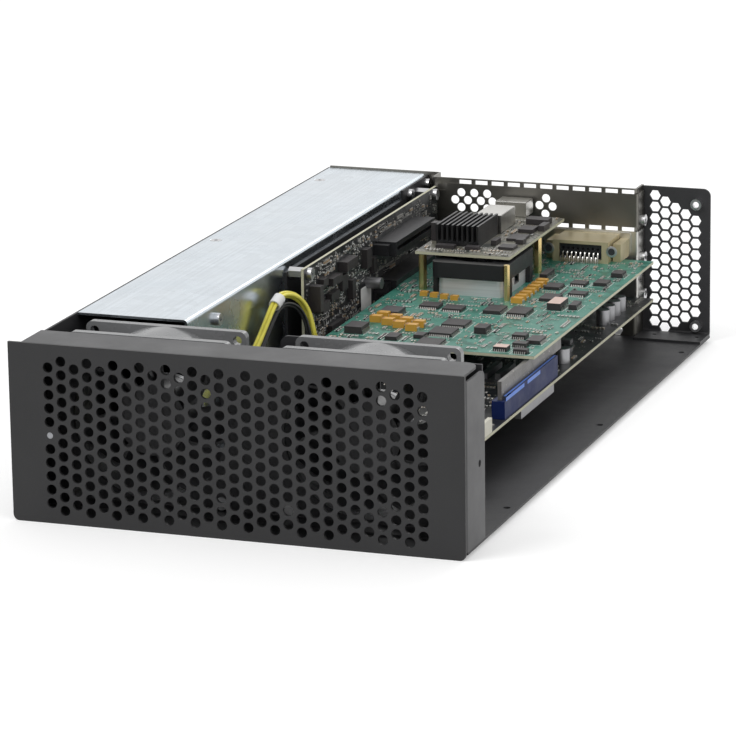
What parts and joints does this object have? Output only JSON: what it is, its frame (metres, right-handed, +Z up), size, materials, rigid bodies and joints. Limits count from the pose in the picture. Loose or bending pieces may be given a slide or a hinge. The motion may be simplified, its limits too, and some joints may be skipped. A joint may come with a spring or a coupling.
{
  "type": "pcie expansion chassis",
  "caption": "Half-width rack expansion chassis for plug-in computer cards, open on its right side, with a perforated bezel, twin fans, a slot board, two seated cards and a rear power supply.",
  "frame": {"origin": "middle of the footprint, on the surface that the feet stand on", "axes": "+X to the right seen from the front, +Y from the bezel to the rear panel, +Z up"},
  "size_m": [0.22, 0.4146, 0.085],
  "materials": {
    "bare_steel": "bare, slightly warm",
    "bezel": "fine satin powder coat, charcoal",
    "black_board": "black solder mask",
    "black_plastic": "satin",
    "brass": "turned",
    "capacitor": "can",
    "chip": "moulded package",
    "cooler_grey": "anodised",
    "fan_plastic": "silver grey moulding",
    "frame_steel": "satin grey",
    "galvanised": "bright galvanised",
    "gold_shell": "gold chromate",
    "green_board": "green solder mask",
    "ivory": "nylon",
    "lamp": "clear light pipe",
    "lead_black": "PVC insulation",
    "lead_yellow": "PVC insulation",
    "module_grey": "board",
    "olive_board": "dark solder mask",
    "plated": "tin plated",
    "psu_steel": "plated",
    "rotor_plastic": "black moulding",
    "rubber": "matt",
    "shell": "matt charcoal",
    "sink_black": "black anodised",
    "socket_blue": "moulded",
    "tantalum": "moulded capacitor",
    "tie_white": "nylon tape",
    "vent_paint": "matt charcoal",
    "zinc": "zinc plated"
  },
  "bodies": {
    "chassis": {"bezel_plate": "bezel", "front_frame": "frame_steel", "status_lamp": "lamp", "floor_tray": "shell", "rubber_feet": "rubber", "rear_panel": "bare_steel", "vent_panel": "vent_paint", "vent_panel_nuts": "zinc", "slot_cover": "bare_steel", "slot_cover_screw": "zinc", "fan_bracket": "shell", "left_fan_housing": "fan_plastic", "right_fan_housing": "fan_plastic", "fan_screws": "zinc", "card_guide_bracket": "shell", "bay_cover": "galvanised", "bay_cover_screws": "zinc", "psu_case": "psu_steel", "psu_fan_guard": "zinc", "psu_inlet": "black_plastic", "psu_switch_frame": "black_plastic", "backplane_bracket": "shell", "backplane_board": "black_board", "backplane_screws": "zinc", "slot_connectors": "black_plastic", "backplane_chips": "chip", "backplane_capacitors": "capacitor", "power_header": "ivory", "power_plug": "ivory", "power_leads": "lead_yellow", "ground_leads": "lead_black", "lead_tie": "tie_white", "link_board": "green_board", "link_ports": "plated"},
    "left_fan": {"left_fan_rotor": "rotor_plastic"},
    "right_fan": {"right_fan_rotor": "rotor_plastic"},
    "supply_fan": {"psu_fan_rotor": "rotor_plastic"},
    "power_rocker": {"psu_switch": "black_plastic"},
    "card_fan": {"upper_card_fan_rotor": "rotor_plastic"},
    "upper_card": {"upper_card_board": "green_board", "upper_card_bracket": "plated", "upper_bracket_screw": "zinc", "upper_card_port": "gold_shell", "upper_port_shell": "plated", "upper_card_port_core": "black_plastic", "upper_card_chips": "chip", "upper_card_capacitors": "tantalum", "upper_card_heatsink": "cooler_grey", "upper_card_fan_frame": "black_plastic", "card_spacers": "brass", "small_board": "olive_board", "small_board_heatsink": "sink_black", "small_board_parts": "chip"},
    "lower_card": {"lower_card_board": "black_board", "lower_card_bracket": "plated", "lower_bracket_screw": "zinc", "lower_card_socket": "socket_blue", "lower_card_module": "module_grey", "lower_card_parts": "capacitor", "lower_card_guide": "ivory"}
  },
  "joints": [
    {"name": "left_fan_spin", "type": "hinge", "parent": "chassis", "child": "left_fan", "pos_m": [-0.053, -0.1653, 0.0438], "axis": [0, 1, 0], "continuous": true},
    {"name": "right_fan_spin", "type": "hinge", "parent": "chassis", "child": "right_fan", "pos_m": [0.0514, -0.1653, 0.0438], "axis": [0, 1, 0], "continuous": true},
    {"name": "supply_fan_spin", "type": "hinge", "parent": "chassis", "child": "supply_fan", "pos_m": [-0.0774, 0.1967, 0.0552], "axis": [0, 1, 0], "continuous": true},
    {"name": "power_rocker_tilt", "type": "hinge", "parent": "chassis", "child": "power_rocker", "pos_m": [-0.0612, 0.2023, 0.0182], "axis": [1, 0, 0], "range_deg": [-16, 0]},
    {"name": "upper_card_slide", "type": "slide", "parent": "chassis", "child": "upper_card", "axis": [1, 0, 0], "range_m": [0, 0.115]},
    {"name": "card_fan_spin", "type": "hinge", "parent": "upper_card", "child": "card_fan", "pos_m": [0.0165, 0.1037, 0.06], "axis": [0, 0, 1], "continuous": true},
    {"name": "lower_card_slide", "type": "slide", "parent": "chassis", "child": "lower_card", "axis": [1, 0, 0], "range_m": [0, 0.115]}
  ]
}
